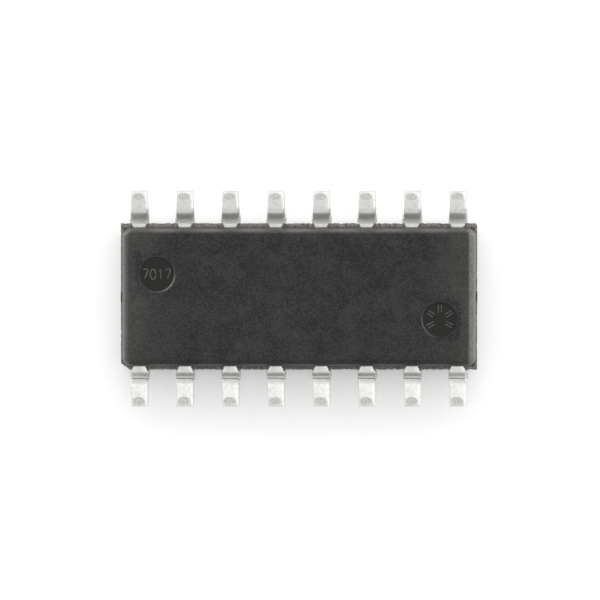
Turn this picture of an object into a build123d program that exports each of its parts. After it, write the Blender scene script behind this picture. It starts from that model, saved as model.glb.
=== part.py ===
from build123d import *
import math
import os

# A sixteen-lead small-outline package, lying on its marked face with its feet up.
# X runs along the package, Y across it, and Z up from the marked face at z = 0.
# "North" is the row of leads on the +Y side, "south" the row on the -Y side.
# All sizes are in millimetres and all angles in degrees.

# Leads outside the body
leads_per_side = 8
lead_pitch = 1.27
lead_thickness = 0.20
lead_width = 0.49
exit_width = 0.40
lead_reach = 1.07
knee_inner_radius = 0.14
heel_inner_radius = 0.06
shoulder_flat = 0.13
leg_lean = 6.0
foot_rise = 4.0
pad_from_toe = 0.28
toe_radius = 0.11
crown_height = 0.022

# Stubs that are left where the dam bar was cut out between two leads
dam_start = 0.12
dam_height = 0.14
stub_width = 0.55
stub_rollover = 0.02

# Moulded body
end_margin = 0.505
body_width = 3.90
marked_half_height = 0.625
foot_half_height = 0.625
standoff = 0.15
draft_angle = 8.0
corner_radius = 0.30
face_edge_radius = 0.20

# Resin that was squeezed out along the mould line and broken off
flash_north = 0.115
flash_south = 0.08
flash_end = 0.035
gate_drop = 0.09

# Round marks that the ejector pins left in the foot side, from the nearest end and side wall
ejector_radius = 0.50
ejector_depth = 0.04
west_mark_from_end = 0.98
west_mark_from_side = 1.28
east_mark_from_end = 1.02
east_mark_from_side = 1.35

# Dimple in the marked face beside the first lead
dimple_radius = 0.30
dimple_depth = 0.05
dimple_from_edges = 0.95

# Die pad with its two tie bars
pad_end_margin = 0.195
pad_width = 2.20
pad_corner_radius = 0.12
pad_downset = 0.20
tie_bar_width = 0.30
tie_ramp_start = 0.10
tie_ramp_length = 0.25

# Leads inside the body
anchor_length = 0.32
inner_lead_width = 0.25
inner_knee_depth = 0.50
tip_gap = 0.20
end_leads = 2
end_tip_spacing = 0.45

# Die, its adhesive and the bond wires
die_length = 2.60
die_width = 1.70
die_thickness = 0.28
attach_thickness = 0.02
bond_inset = 0.10
side_bond_spacing = 0.70
end_bond_spacing = 0.40
wire_diameter = 0.025
wire_sides = 6
wire_neck = 0.09
wire_loop = 0.14
loop_peak_share = 0.40
ball_radius = 0.035
ball_height = 0.015
stitch_from_tip = 0.12
stitch_overrun = 0.02

# Levels and reaches that follow from the sizes above
body_length = (leads_per_side - 1) * lead_pitch + 2 * end_margin
lead_bottom = marked_half_height
lead_top = lead_bottom + lead_thickness
lead_middle = lead_bottom + lead_thickness / 2
body_height = lead_top + foot_half_height
seat_height = body_height + standoff
pad_bottom = lead_bottom + pad_downset
pad_middle = pad_bottom + lead_thickness / 2
attach_bottom = pad_bottom - attach_thickness
die_face = attach_bottom - die_thickness
half_length = body_length / 2
half_width = body_width / 2
pad_length = (leads_per_side / 2 - 1) * lead_pitch + 2 * pad_end_margin
knee_radius = knee_inner_radius + lead_thickness / 2
heel_radius = heel_inner_radius + lead_thickness / 2
last_lead_x = (leads_per_side - 1) * lead_pitch / 2
lead_total = 2 * leads_per_side


def lead_place(number):
    """X place, side (1 north, -1 south) and rank of a lead, numbered clockwise from north-west.

    The rank counts from 0 at the nearest end of the row.
    """
    if number <= leads_per_side:
        place = number - 1
        side = 1
    else:
        place = lead_total - number
        side = -1
    rank = min(place, leads_per_side - 1 - place)
    return -last_lead_x + place * lead_pitch, side, rank


def formed_line():
    """Corner points of a formed lead's middle line: outward from the mould line, and up."""
    lean = math.radians(leg_lean)
    rise = math.radians(foot_rise)
    first_turn = math.pi / 2 - lean
    knee_out = shoulder_flat + knee_radius * math.tan(first_turn / 2)
    pad_heel_out = lead_reach - pad_from_toe
    foot_middle = seat_height - lead_thickness / 2 / math.cos(rise)
    heel_climb = foot_middle - lead_middle - (pad_heel_out - knee_out) * math.tan(rise)
    leg_height = heel_climb / (1 - math.tan(lean) * math.tan(rise))
    heel_out = knee_out + leg_height * math.tan(lean)
    toe_out = lead_reach + lead_thickness
    return [
        (dam_start, lead_middle),
        (knee_out, lead_middle),
        (heel_out, lead_middle + leg_height),
        (toe_out, foot_middle + (toe_out - pad_heel_out) * math.tan(rise)),
    ]


def inner_line(lead_x, side, rank):
    """Middle line of a lead inside the body, from its anchor to its tip beside the die pad."""
    start = (lead_x, side * (half_width - anchor_length / 2))
    if rank >= end_leads:
        return [start, (lead_x, side * (pad_width / 2 + tip_gap))]
    toward = -1 if lead_x > 0 else 1
    knee_y = half_width - inner_knee_depth
    tip_y = end_tip_spacing * (rank + 1)
    slope_x = lead_x + toward * (knee_y - tip_y)
    tip_x = -toward * (pad_length / 2 + tip_gap)
    return [start, (lead_x, side * knee_y), (slope_x, side * tip_y), (tip_x, side * tip_y)]


def bond_place(lead_x, side, rank):
    """Place on the die where the wire of a lead starts, half a spacing off the die's middle lines."""
    across = 1 if lead_x > 0 else -1
    if rank >= end_leads:
        from_middle = (leads_per_side - 1) / 2 - rank
        return across * from_middle * side_bond_spacing, side * (die_width / 2 - bond_inset)
    return across * (die_length / 2 - bond_inset), side * (rank + 1 / 2) * end_bond_spacing


os.makedirs("parts", exist_ok=True)

# Leads: a crowned strip bent into a gull wing, its flat anchor in the resin and its dam bar stubs
leads = []
for number in range(1, lead_total + 1):
    lead_x, side, rank = lead_place(number)
    side_plane = Plane(origin=(lead_x, side * half_width, 0), x_dir=(0, side, 0), z_dir=(side, 0, 0))
    start_plane = Plane(
        origin=(lead_x, side * (half_width + dam_start), lead_middle),
        x_dir=(-side, 0, 0),
        z_dir=(0, side, 0),
    )
    crown_foot = lead_thickness / 2 - crown_height

    with BuildPart() as lead:
        with BuildLine(side_plane) as middle_line:
            FilletPolyline(*formed_line(), radius=(knee_radius, heel_radius))
        with BuildSketch(start_plane):
            with BuildLine():
                Polyline(
                    (-lead_width / 2, crown_foot),
                    (-lead_width / 2, -lead_thickness / 2),
                    (lead_width / 2, -lead_thickness / 2),
                    (lead_width / 2, crown_foot),
                )
                ThreePointArc(
                    (lead_width / 2, crown_foot),
                    (0, lead_thickness / 2),
                    (-lead_width / 2, crown_foot),
                )
            make_face()
        sweep(path=middle_line.wire())

        # The seating plane levels the pad of the foot, and the toe is trimmed and rounded
        with BuildSketch(side_plane) as envelope:
            Rectangle(lead_reach, seat_height, align=(Align.MIN, Align.MIN))
            fillet(envelope.vertices().sort_by(Axis.X)[-2:].sort_by(Axis.Y)[-1], radius=toe_radius)
        extrude(amount=stub_width, both=True, mode=Mode.INTERSECT)

        with BuildSketch(side_plane):
            with BuildLine():
                FilletPolyline(*formed_line(), radius=(knee_radius, heel_radius))
            trace(line_width=lead_thickness - 2 * stub_rollover)
            Rectangle(
                lead_reach,
                lead_middle + dam_height,
                align=(Align.MIN, Align.MIN),
                mode=Mode.INTERSECT,
            )
        extrude(amount=stub_width / 2, both=True)

        with BuildSketch(Plane.XY.offset(lead_bottom)):
            with BuildLine():
                Polyline(
                    (lead_x - exit_width / 2, side * (half_width - anchor_length)),
                    (lead_x + exit_width / 2, side * (half_width - anchor_length)),
                    (lead_x + exit_width / 2, side * half_width),
                    (lead_x + lead_width / 2, side * (half_width + dam_start)),
                    (lead_x - lead_width / 2, side * (half_width + dam_start)),
                    (lead_x - exit_width / 2, side * half_width),
                    close=True,
                )
            make_face()
            with BuildLine():
                Polyline(*inner_line(lead_x, side, rank))
            trace(line_width=inner_lead_width)
        extrude(amount=lead_thickness)

    lead.part.label = f"lead_{number:02d}"
    export_step(lead.part, f"parts/lead_{number:02d}.step")
    leads.append(lead)

# Die pad, set down toward the feet, with a tie bar that rises to the mould line at each end
with BuildPart() as die_pad:
    with BuildSketch(Plane.XY.offset(pad_bottom)) as pad_outline:
        Rectangle(pad_length, pad_width)
        fillet(pad_outline.vertices(), radius=pad_corner_radius)
    extrude(amount=lead_thickness)
    ramp_start = pad_length / 2 + tie_ramp_start
    with BuildSketch(Plane.XZ):
        with BuildLine():
            Polyline(
                (pad_length / 2 - tie_bar_width, pad_middle),
                (ramp_start, pad_middle),
                (ramp_start + tie_ramp_length, lead_middle),
                (half_length + flash_end, lead_middle),
            )
        trace(line_width=lead_thickness)
    extrude(amount=tie_bar_width / 2, both=True)
    mirror(about=Plane.YZ)
die_pad.part.label = "die_pad"
export_step(die_pad.part, "parts/die_pad.step")

# Adhesive and die, on the side of the pad that faces the marked face
with BuildPart() as die_attach:
    with BuildSketch(Plane.XY.offset(attach_bottom)):
        Rectangle(die_length, die_width)
    extrude(amount=attach_thickness)
die_attach.part.label = "die_attach"
export_step(die_attach.part, "parts/die_attach.step")

with BuildPart() as die:
    with BuildSketch(Plane.XY.offset(die_face)):
        Rectangle(die_length, die_width)
    extrude(amount=die_thickness)
die.part.label = "die"
export_step(die.part, "parts/die.step")

# Bond wires: a ball on the die, a neck, a low loop and a stitch on the tip of the lead
wires = []
for number in range(1, lead_total + 1):
    lead_x, side, rank = lead_place(number)
    bond_x, bond_y = bond_place(lead_x, side, rank)
    before_tip, tip = [Vector(x, y, 0) for x, y in inner_line(lead_x, side, rank)[-2:]]
    stitch = tip + (before_tip - tip).normalized() * stitch_from_tip
    bond = Vector(bond_x, bond_y, 0)
    span = (stitch - bond).length
    heading = (stitch - bond).normalized()
    wire_plane = Plane(origin=bond, x_dir=heading, z_dir=heading.cross(Vector(0, 0, 1)))
    peak_out = span * loop_peak_share
    peak_height = die_face - wire_loop
    fall = (lead_bottom - peak_height) / (span - peak_out)

    with BuildPart() as bond_wire:
        with BuildLine(wire_plane) as loop:
            Polyline(
                (0, die_face),
                (0, die_face - wire_neck),
                (peak_out, peak_height),
                (span + stitch_overrun, lead_bottom + stitch_overrun * fall),
            )
        with BuildSketch(Plane.XY.offset(die_face)):
            with Locations((bond_x, bond_y)):
                RegularPolygon(wire_diameter / 2, wire_sides)
        sweep(path=loop.wire(), transition=Transition.RIGHT)
        split(bisect_by=Plane.XY.offset(lead_bottom), keep=Keep.BOTTOM)
        with BuildSketch(Plane.XY.offset(die_face)):
            with Locations((bond_x, bond_y)):
                RegularPolygon(ball_radius, wire_sides)
        extrude(amount=-ball_height)

    bond_wire.part.label = f"bond_wire_{number:02d}"
    export_step(bond_wire.part, f"parts/bond_wire_{number:02d}.step")
    wires.append(bond_wire)

# Moulding: two drafted halves that meet at the lead frame, cast around everything inside
with BuildPart() as moulding:
    with BuildSketch(Plane.XY.offset(lead_top)):
        RectangleRounded(body_length, body_width, corner_radius)
    extrude(amount=foot_half_height, taper=draft_angle)
    with BuildSketch(Plane.XY.offset(lead_bottom)):
        RectangleRounded(body_length, body_width, corner_radius)
    extrude(amount=-marked_half_height, taper=draft_angle)

    # Flash between the leads, with the scar of the gate at the south-west corner
    end_x = half_length + flash_end
    gate_x = -last_lead_x - exit_width / 2
    with BuildSketch(Plane.XY.offset(lead_bottom)):
        with BuildLine():
            Polyline(
                (-end_x, half_width + flash_north),
                (end_x, half_width + flash_north),
                (end_x, -half_width - flash_south),
                (-last_lead_x, -half_width - flash_south),
                (-last_lead_x, -half_width - dam_start),
                (gate_x, -half_width - dam_start),
                (-end_x, -half_width + gate_drop),
                close=True,
            )
        make_face()
    extrude(amount=lead_thickness)

    flat_faces = moulding.faces().filter_by(Axis.Z).sort_by(Axis.Z)
    fillet(flat_faces[0].edges() + flat_faces[-1].edges(), radius=face_edge_radius)

    west_mark = (-half_length + west_mark_from_end, half_width - west_mark_from_side)
    east_mark = (half_length - east_mark_from_end, -half_width + east_mark_from_side)
    with BuildSketch(Plane.XY.offset(body_height)):
        with Locations(west_mark, east_mark):
            Circle(ejector_radius)
    extrude(amount=-ejector_depth, mode=Mode.SUBTRACT)

    with BuildSketch(Plane.XY):
        with Locations((-half_length + dimple_from_edges, half_width - dimple_from_edges)):
            Circle(dimple_radius)
    extrude(amount=dimple_depth, mode=Mode.SUBTRACT)

    for piece in leads + [die_pad, die_attach, die] + wires:
        add(piece.part, mode=Mode.SUBTRACT)
moulding.part.label = "moulding"
export_step(moulding.part, "parts/moulding.step")
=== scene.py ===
"""A sixteen-lead small-outline package, lying on its marked face with its feet up.

Lengths in this file are millimetres in the package's own frame, unless a name says otherwise,
and become metres where a mesh or a lamp is made. X runs along the package, Y across it from the
south row of leads to the north row, and Z up from the marked face to the feet.
"""

import logging
import math
from dataclasses import dataclass, field
from enum import Enum
from typing import Any

import bmesh
import bpy
import numpy as np
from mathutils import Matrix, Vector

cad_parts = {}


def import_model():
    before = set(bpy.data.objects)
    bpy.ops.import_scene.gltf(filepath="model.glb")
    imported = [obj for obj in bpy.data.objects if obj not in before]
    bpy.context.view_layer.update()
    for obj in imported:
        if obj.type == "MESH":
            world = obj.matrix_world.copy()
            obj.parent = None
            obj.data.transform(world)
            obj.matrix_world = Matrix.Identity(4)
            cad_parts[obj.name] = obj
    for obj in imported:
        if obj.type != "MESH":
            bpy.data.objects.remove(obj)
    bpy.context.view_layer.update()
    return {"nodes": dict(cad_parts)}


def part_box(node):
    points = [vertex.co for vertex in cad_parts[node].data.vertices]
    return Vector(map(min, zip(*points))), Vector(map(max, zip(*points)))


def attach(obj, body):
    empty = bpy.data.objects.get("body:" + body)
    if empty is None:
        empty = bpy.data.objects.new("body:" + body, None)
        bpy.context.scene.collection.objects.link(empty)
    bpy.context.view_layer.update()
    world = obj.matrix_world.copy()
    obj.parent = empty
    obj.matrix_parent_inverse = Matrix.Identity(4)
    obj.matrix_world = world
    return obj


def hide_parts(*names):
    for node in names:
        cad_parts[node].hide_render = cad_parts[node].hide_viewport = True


MM = 0.001
BODY = "root"
LOG = logging.getLogger("package")

Pair = tuple[float, float]
Triple = tuple[float, float, float]
Socket = bpy.types.NodeSocket
Piece = bpy.types.Object


class Slot(Enum):
    """Names of the record's material slots, which no piece in this script takes."""

    MOULDING = "moulding"
    LEAD_PLATING = "lead_plating"


class Side(Enum):
    """The two long sides of the package, by the sign of their Y."""

    NORTH = 1
    SOUTH = -1


class MarkFill(Enum):
    """What stands on the floor of an ejector mark."""

    DIGITS = "digits"
    BARS = "bars"


def grid_quads(rows: int, columns: int, closed: bool = False) -> np.ndarray:
    """Quads between neighbouring points of a rows by columns grid, numbered row by row.

    Args:
        rows: Number of points along the first direction.
        columns: Number of points along the second direction.
        closed: Whether the last column joins the first.

    Returns:
        An array of shape (n, 4) of point numbers.
    """
    wide = columns if closed else columns - 1
    row, column = np.meshgrid(np.arange(rows - 1), np.arange(wide), indexing="ij")
    after = (column + 1) % columns
    corners = ((row, column), (row + 1, column), (row + 1, after), (row, after))
    return np.stack([(at * columns + across).ravel() for at, across in corners], axis=1)


@dataclass
class Shell:
    """Points and faces of a surface that grows patch by patch.

    Args:
        points: Arrays of shape (n, 3), in millimetres.
        quads: Arrays of shape (n, 4) of point numbers.
        triangles: Arrays of shape (n, 3) of point numbers.
        shades: One number per point, which a finish may read as the attribute "shade".
        count: Number of points so far.
    """

    points: list[np.ndarray] = field(default_factory=list)
    quads: list[np.ndarray] = field(default_factory=list)
    triangles: list[np.ndarray] = field(default_factory=list)
    shades: list[np.ndarray] = field(default_factory=list)
    count: int = 0

    def add(
        self,
        points: np.ndarray,
        quads: np.ndarray | None = None,
        triangles: np.ndarray | None = None,
        shade: np.ndarray | float = 0.0,
    ) -> int:
        """Adds a patch and gives the number of its first point.

        Args:
            points: The patch's points, in any shape whose last axis is X, Y, Z.
            quads: Its four-sided faces, numbered from the patch's own first point.
            triangles: Its three-sided faces, numbered the same way.
            shade: The attribute "shade" of each point, or one number for all.

        Returns:
            The number that the patch's first point has in the whole shell.
        """
        flat = points.reshape(-1, 3)
        first = self.count
        self.points.append(flat)
        self.shades.append(np.broadcast_to(np.asarray(shade, float).reshape(-1), (len(flat),)))
        if quads is not None:
            self.quads.append(quads + first)
        if triangles is not None:
            self.triangles.append(triangles + first)
        self.count += len(flat)
        return first

    def close(
        self, first: int, around: int, middle: np.ndarray, flip: bool, shade: float = 0.0
    ) -> None:
        """Closes a ring of points with a fan of triangles about a middle point.

        Args:
            first: Number of the ring's first point.
            around: Number of points in the ring.
            middle: The middle point.
            flip: Whether the triangles are turned over.
            shade: The attribute "shade" of the middle point.
        """
        hub = self.add(middle[None], shade=shade)
        ring = np.arange(around)
        fan = np.stack([np.full(around, hub), first + ring, first + (ring + 1) % around], axis=1)
        self.triangles.append(fan[:, ::-1] if flip else fan)

    def build(self, name: str) -> Piece:
        """Makes the mesh object, with doubled points merged and smooth faces.

        Args:
            name: Name of the object and its mesh.

        Returns:
            The object, linked to the scene, at the origin.
        """
        faces = [row for block in self.quads for row in block.tolist()]
        faces += [row for block in self.triangles for row in block.tolist()]
        mesh = bpy.data.meshes.new(name)
        mesh.from_pydata((np.concatenate(self.points) * MM).tolist(), [], faces)
        shade = mesh.attributes.new("shade", "FLOAT", "POINT")
        shade.data.foreach_set("value", np.concatenate(self.shades).astype(np.float32))
        work = bmesh.new()
        work.from_mesh(mesh)
        bmesh.ops.remove_doubles(work, verts=work.verts, dist=1e-8)
        work.to_mesh(mesh)
        work.free()
        mesh.polygons.foreach_set("use_smooth", np.ones(len(mesh.polygons), bool))
        mesh.update()
        return linked(name, mesh)


def linked(name: str, data: bpy.types.ID) -> Piece:
    """Makes an object of some data and links it to the scene.

    Args:
        name: Name of the object.
        data: A mesh, a camera or a light.

    Returns:
        The object.
    """
    thing = bpy.data.objects.new(name, data)
    bpy.context.scene.collection.objects.link(thing)
    return thing


def rough_line(count: int, reach: int, seed: int) -> np.ndarray:
    """An uneven line: random numbers averaged over a window, scaled to a spread of one.

    Args:
        count: Number of samples.
        reach: Width of the averaging window, in samples.
        seed: Seed of the random numbers.

    Returns:
        An array of shape (count,).
    """
    noise = np.random.default_rng(seed).normal(size=count + 2 * reach)
    window = np.hanning(2 * reach + 1)
    line = np.convolve(noise, window / window.sum(), mode="same")[reach : reach + count]
    return line / line.std()


def ease(share: np.ndarray) -> np.ndarray:
    """Rises smoothly from 0 to 1 as the share does, and stays there: 3 s^2 - 2 s^3."""
    held = np.clip(share, 0, 1)
    return held * held * (3 - 2 * held)


class Nodes:
    """A short way to write the nodes of a material or of the sky.

    Args:
        owner: The material or the world.
        coordinates: Name of the coordinates that its patterns follow.
    """

    def __init__(
        self, owner: bpy.types.Material | bpy.types.World, coordinates: str = "Object"
    ) -> None:
        """Gives the owner its nodes, and takes up the place of each point."""
        self.owner = owner
        self.owner.use_nodes = True
        self.tree = self.owner.node_tree
        self.place = self.add("TexCoord").outputs[coordinates]

    def feed(self, node: bpy.types.Node, inputs: dict[str | int, Any]) -> None:
        """Fills a node's inputs, each with a socket to join to it or with a constant.

        Args:
            node: The node.
            inputs: Sockets and constants by the input's name or number.
        """
        for name, value in inputs.items():
            if isinstance(value, Socket):
                self.tree.links.new(value, node.inputs[name])
            else:
                node.inputs[name].default_value = value

    def add(
        self, kind: str, inputs: dict[str | int, Any] | None = None, **settings: str
    ) -> bpy.types.Node:
        """Adds a node.

        Args:
            kind: Its type, without the words that all types begin with.
            inputs: What its inputs are fed, by name or number.
            settings: Its own settings by name.

        Returns:
            The node.
        """
        node = self.tree.nodes.new("ShaderNode" + kind)
        for name, value in settings.items():
            setattr(node, name, value)
        self.feed(node, inputs or {})
        return node

    def finish(self, inputs: dict[str, Any]) -> bpy.types.Material:
        """Feeds a material's principled shader, and gives the material."""
        self.feed(self.tree.nodes["Principled BSDF"], inputs)
        return self.owner

    def noise(self, grain: float, detail: float = 2.0, roughness: float = 0.5) -> Socket:
        """Noise from 0 to 1 with grains of about the given size.

        Args:
            grain: Size of a grain in millimetres.
            detail: Number of finer layers.
            roughness: Strength of the finer layers.

        Returns:
            The noise's value.
        """
        inputs = {"Vector": self.place, "Scale": 1 / (grain * MM), "Detail": detail}
        return self.add("TexNoise", {**inputs, "Roughness": roughness}).outputs["Fac"]

    def shade(self) -> Socket:
        """The mesh's attribute "shade"."""
        return self.add("Attribute", attribute_name="shade").outputs["Fac"]

    def toward(self, direction: Triple) -> Socket:
        """How far the place's direction points the given way."""
        inputs = {0: self.place, 1: direction}
        return self.add("VectorMath", inputs, operation="DOT_PRODUCT").outputs["Value"]

    def parts(self) -> bpy.types.bpy_prop_collection:
        """The place's "X", "Y" and "Z"."""
        return self.add("SeparateXYZ", {0: self.place}).outputs

    def ramp(self, value: Socket, stops: list[tuple[float, Triple]]) -> Socket:
        """Turns a value from 0 to 1 into a colour.

        Args:
            value: The value.
            stops: Pairs of a place from 0 to 1 and a linear colour.

        Returns:
            The colour.
        """
        node = self.add("ValToRGB", {"Fac": value})
        elements = node.color_ramp.elements
        while len(elements) < len(stops):
            elements.new(0.5)
        for element, (place, colour) in zip(elements, stops):
            element.position = place
            element.color = (*colour, 1.0)
        return node.outputs["Color"]

    def spread(
        self, value: Socket, low: float, high: float, start: float = 0.3, end: float = 0.7,
        kind: str = "LINEAR",
    ) -> Socket:
        """Maps a value from start..end to low..high, and holds it there.

        Args:
            value: The value to map.
            low: Result at the start.
            high: Result at the end.
            start: Value that gives low.
            end: Value that gives high.
            kind: "LINEAR" or "SMOOTHSTEP".

        Returns:
            The mapped value.
        """
        inputs = {"Value": value, "From Min": start, "From Max": end, "To Min": low, "To Max": high}
        return self.add("MapRange", inputs, interpolation_type=kind).outputs["Result"]

    def mix(self, share: Socket, first: Socket, second: Socket) -> Socket:
        """Mixes two colours by a share from 0 (first) to 1 (second)."""
        return self.add("Mix", {"Factor": share, 6: first, 7: second}, data_type="RGBA").outputs[2]

    def combine(self, operation: str, *values: Socket | float) -> Socket:
        """One or two values put through a named operation, such as "ADD" or "ABSOLUTE"."""
        return self.add("Math", dict(enumerate(values)), operation=operation).outputs[0]

    def bump(self, layers: list[tuple[Socket, float, float]]) -> Socket:
        """A normal bumped by layers, one on the other.

        Args:
            layers: Triples of a height from 0 to 1, the depth it stands for in millimetres and
                the strength of its effect.

        Returns:
            The normal.
        """
        below: dict[str, Socket] = {}
        for height, depth, strength in layers:
            inputs = {"Height": height, "Distance": depth * MM, "Strength": strength, **below}
            below = {"Normal": self.add("Bump", inputs).outputs["Normal"]}
        return below["Normal"]

    def seen(self) -> Socket:
        """1 for a camera, mirrored or transmitted ray and 0 for the rest.

        Returns:
            The value.
        """
        path = self.add("LightPath").outputs
        direct = self.combine("MAXIMUM", path["Is Camera Ray"], path["Is Glossy Ray"])
        return self.combine("MAXIMUM", direct, path["Is Transmission Ray"])


def scaled(colour: Triple, factor: float) -> Triple:
    """A colour with each of its parts multiplied by a factor."""
    return tuple(factor * part for part in colour)


@dataclass(frozen=True)
class MouldedResin:
    """Dark epoxy with a spark-eroded matte skin, paler where it is broken and where light is painted
    on.

    Args:
        skin: Colour of the mottled skin where it is darkest.
        skin_pale: Colour of the skin where it is palest.
        broken: Colour of a broken edge where the filler shows, and of painted sheen and highlights.
        polished: Colour of the smooth floor of an ejector mark.
        mottle: Size of the mottling's largest clouds, in millimetres.
        grain: Size of the mottling's coarse grains, in millimetres.
        pores: Size of the skin's pits, in millimetres.
        crumb: Size of the crumbs of a broken edge, in millimetres.
        roughness: Roughness of the skin.
        shine: Level of the skin's mirrored light.
    """

    skin: Triple = (0.0055, 0.007, 0.0055)
    skin_pale: Triple = (0.041, 0.0425, 0.041)
    broken: Triple = (0.42, 0.40, 0.37)
    polished: Triple = (0.0075, 0.0095, 0.007)
    mottle: float = 0.80
    grain: float = 0.055
    pores: float = 0.035
    crumb: float = 0.05
    roughness: float = 0.46
    shine: float = 0.3

    def material(self) -> bpy.types.Material:
        """Makes the material. Positive shade is a broken edge and painted sheen, -1 a polished
        floor.

        Returns:
            The material.
        """
        nodes = Nodes(bpy.data.materials.new("moulded resin"))
        shade = nodes.shade()
        clouds = nodes.spread(nodes.noise(self.mottle, 2.0, 0.8), 0.0, 0.3)
        grains = nodes.spread(nodes.noise(self.grain, 2.0, 1.0), 0.0, 0.7, 0.32, 0.68)
        mottle = nodes.combine("ADD", clouds, grains)
        skin = nodes.ramp(mottle, [(0.25, self.skin), (0.75, self.skin_pale)])
        crumbs = nodes.noise(self.crumb, 3.0)
        broken = nodes.ramp(crumbs, [(0.3, scaled(self.broken, 0.45)), (0.62, self.broken)])
        polished = nodes.ramp(crumbs, [(0.2, self.polished), (0.8, scaled(self.polished, 1.2))])
        # Positive shade mixes toward the broken colour: broken edges, the painted sheen on the
        # body's edges and walls, and the painted highlight on the marks' rims.
        rim = nodes.spread(shade, 0.0, 1.0, 0.0, 1.0)
        floor = nodes.spread(shade, 1.0, 0.0, -1.0, 0.0)
        fine = nodes.noise(self.pores, 3.0, 0.6)
        depth = nodes.spread(floor, 1.0, 0.15, 0.0, 1.0)
        pits = nodes.combine("MULTIPLY", fine, depth)
        return nodes.finish({
            "Base Color": nodes.mix(floor, nodes.mix(rim, skin, broken), polished),
            "Roughness": nodes.spread(fine, self.roughness - 0.08, self.roughness + 0.12),
            "Specular IOR Level": self.shine,
            "Normal": nodes.bump([(pits, 0.010, 0.8), (crumbs, 0.006, 0.4)]),
        })


@dataclass(frozen=True)
class TinPlate:
    """Matte tin over copper: a satin metal with a fine grain and a few scuffs.

    Args:
        bright: Colour of the clean plating.
        dull: Colour of the duller patches.
        pressed: Colour of the pads, where the foot was pressed flat.
        frosted: Colour where the bends stretched the plating: real matte tin, near white as painted
            light.
        matte: Roughness of the plating that the bends stretched.
        patch: Size of the patches, in millimetres.
        speck: Size of the specks, in millimetres.
        grain: Size of the plating's grain, in millimetres.
        roughness: Roughness of the clean plating.
        metallic: Share of the light that it mirrors, where the rest is scattered.
    """

    bright: Triple = (0.84, 0.835, 0.81)
    dull: Triple = (0.76, 0.755, 0.73)
    pressed: Triple = (0.55, 0.545, 0.52)
    frosted: Triple = (0.97, 0.965, 0.94)
    matte: float = 0.55
    patch: float = 0.12
    speck: float = 0.05
    grain: float = 0.02
    roughness: float = 0.20
    metallic: float = 0.82

    def material(self) -> bpy.types.Material:
        """Makes the material. Shade 1 is a pressed pad and shade -1 a frosted bend.

        Returns:
            The material.
        """
        nodes = Nodes(bpy.data.materials.new("tin plate"))
        patches = nodes.noise(self.patch, 3.0, 0.6)
        clean = nodes.ramp(patches, [(0.35, self.dull), (0.55, self.bright)])
        specks = nodes.noise(self.speck)
        pressed = nodes.ramp(specks, [(0.35, self.pressed), (0.7, self.dull)])
        # The frosted colour is real matte plating, and its near-white tone is also painted light
        # that lifts the shaded bends.
        frosted = nodes.ramp(specks, [(0.3, self.bright), (0.6, self.frosted)])
        shade = nodes.shade()
        pad = nodes.spread(shade, 0.0, 1.0, 0.0, 1.0)
        bend = nodes.spread(shade, 1.0, 0.0, -1.0, 0.0)
        fine = nodes.noise(self.grain)
        smooth = nodes.spread(fine, self.roughness - 0.05, self.roughness + 0.10)
        added = nodes.spread(bend, 0.0, self.matte - self.roughness, 0.0, 1.0)
        return nodes.finish({
            "Base Color": nodes.mix(bend, nodes.mix(pad, clean, pressed), frosted),
            "Metallic": nodes.spread(bend, self.metallic, 0.0, 0.0, 1.0),
            "Roughness": nodes.combine("ADD", smooth, added),
            "Normal": nodes.bump([(patches, 0.010, 0.15), (fine, 0.002, 0.30)]),
        })


@dataclass(frozen=True)
class InnerMetal:
    """A metal inside the package, with a drawn or rolled grain.

    Args:
        name: Name of the material.
        colour: Its main colour.
        stain: Colour of its patches.
        roughness: Its roughness.
        grain: Size of the patches, in millimetres.
        sealed: Distance from the package's middle, along it, within which resin seals the metal.
        aired: Darkest and palest colour of the metal in the air.
    """

    name: str
    colour: Triple
    stain: Triple
    roughness: float = 0.3
    grain: float = 0.1
    sealed: float = 4.93
    aired: tuple[Triple, Triple] = ((0.05, 0.045, 0.04), (0.12, 0.105, 0.09))

    def material(self) -> bpy.types.Material:
        """Makes the material, which has gone dark where the metal is in the air.

        Returns:
            The material.
        """
        nodes = Nodes(bpy.data.materials.new(self.name))
        patches = nodes.noise(self.grain, 3.0)
        clean = nodes.ramp(patches, [(0.35, self.stain), (0.6, self.colour)])
        aired = nodes.ramp(patches, [(0.35, self.aired[0]), (0.6, self.aired[1])])
        away = nodes.combine("ABSOLUTE", nodes.parts()["X"])
        end = nodes.spread(away, 0.0, 1.0, self.sealed * MM, (self.sealed + 0.01) * MM)
        return nodes.finish({
            "Base Color": nodes.mix(end, clean, aired),
            "Metallic": 1.0,
            "Roughness": nodes.spread(patches, self.roughness + 0.1, self.roughness - 0.05),
            "Normal": nodes.bump([(nodes.noise(self.grain / 4), 0.004, 0.3)]),
        })


@dataclass(frozen=True)
class Silicon:
    """The die: polished grey-blue silicon with faint blocks of circuitry.

    Args:
        plain: Colour between the blocks.
        block: Colour of the blocks.
        cell: Size of a block, in millimetres.
    """

    plain: Triple = (0.10, 0.12, 0.16)
    block: Triple = (0.26, 0.25, 0.30)
    cell: float = 0.22

    def material(self) -> bpy.types.Material:
        """Makes the material.

        Returns:
            The material.
        """
        nodes = Nodes(bpy.data.materials.new("silicon"))
        inputs = {"Vector": nodes.place, "Scale": 1 / (self.cell * MM)}
        cells = nodes.add("TexVoronoi", inputs, distance="CHEBYCHEV").outputs["Distance"]
        return nodes.finish({
            "Base Color": nodes.ramp(cells, [(0.25, self.block), (0.4, self.plain)]),
            "Metallic": 0.6,
            "Roughness": nodes.spread(nodes.noise(0.05), 0.12, 0.25),
        })


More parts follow.
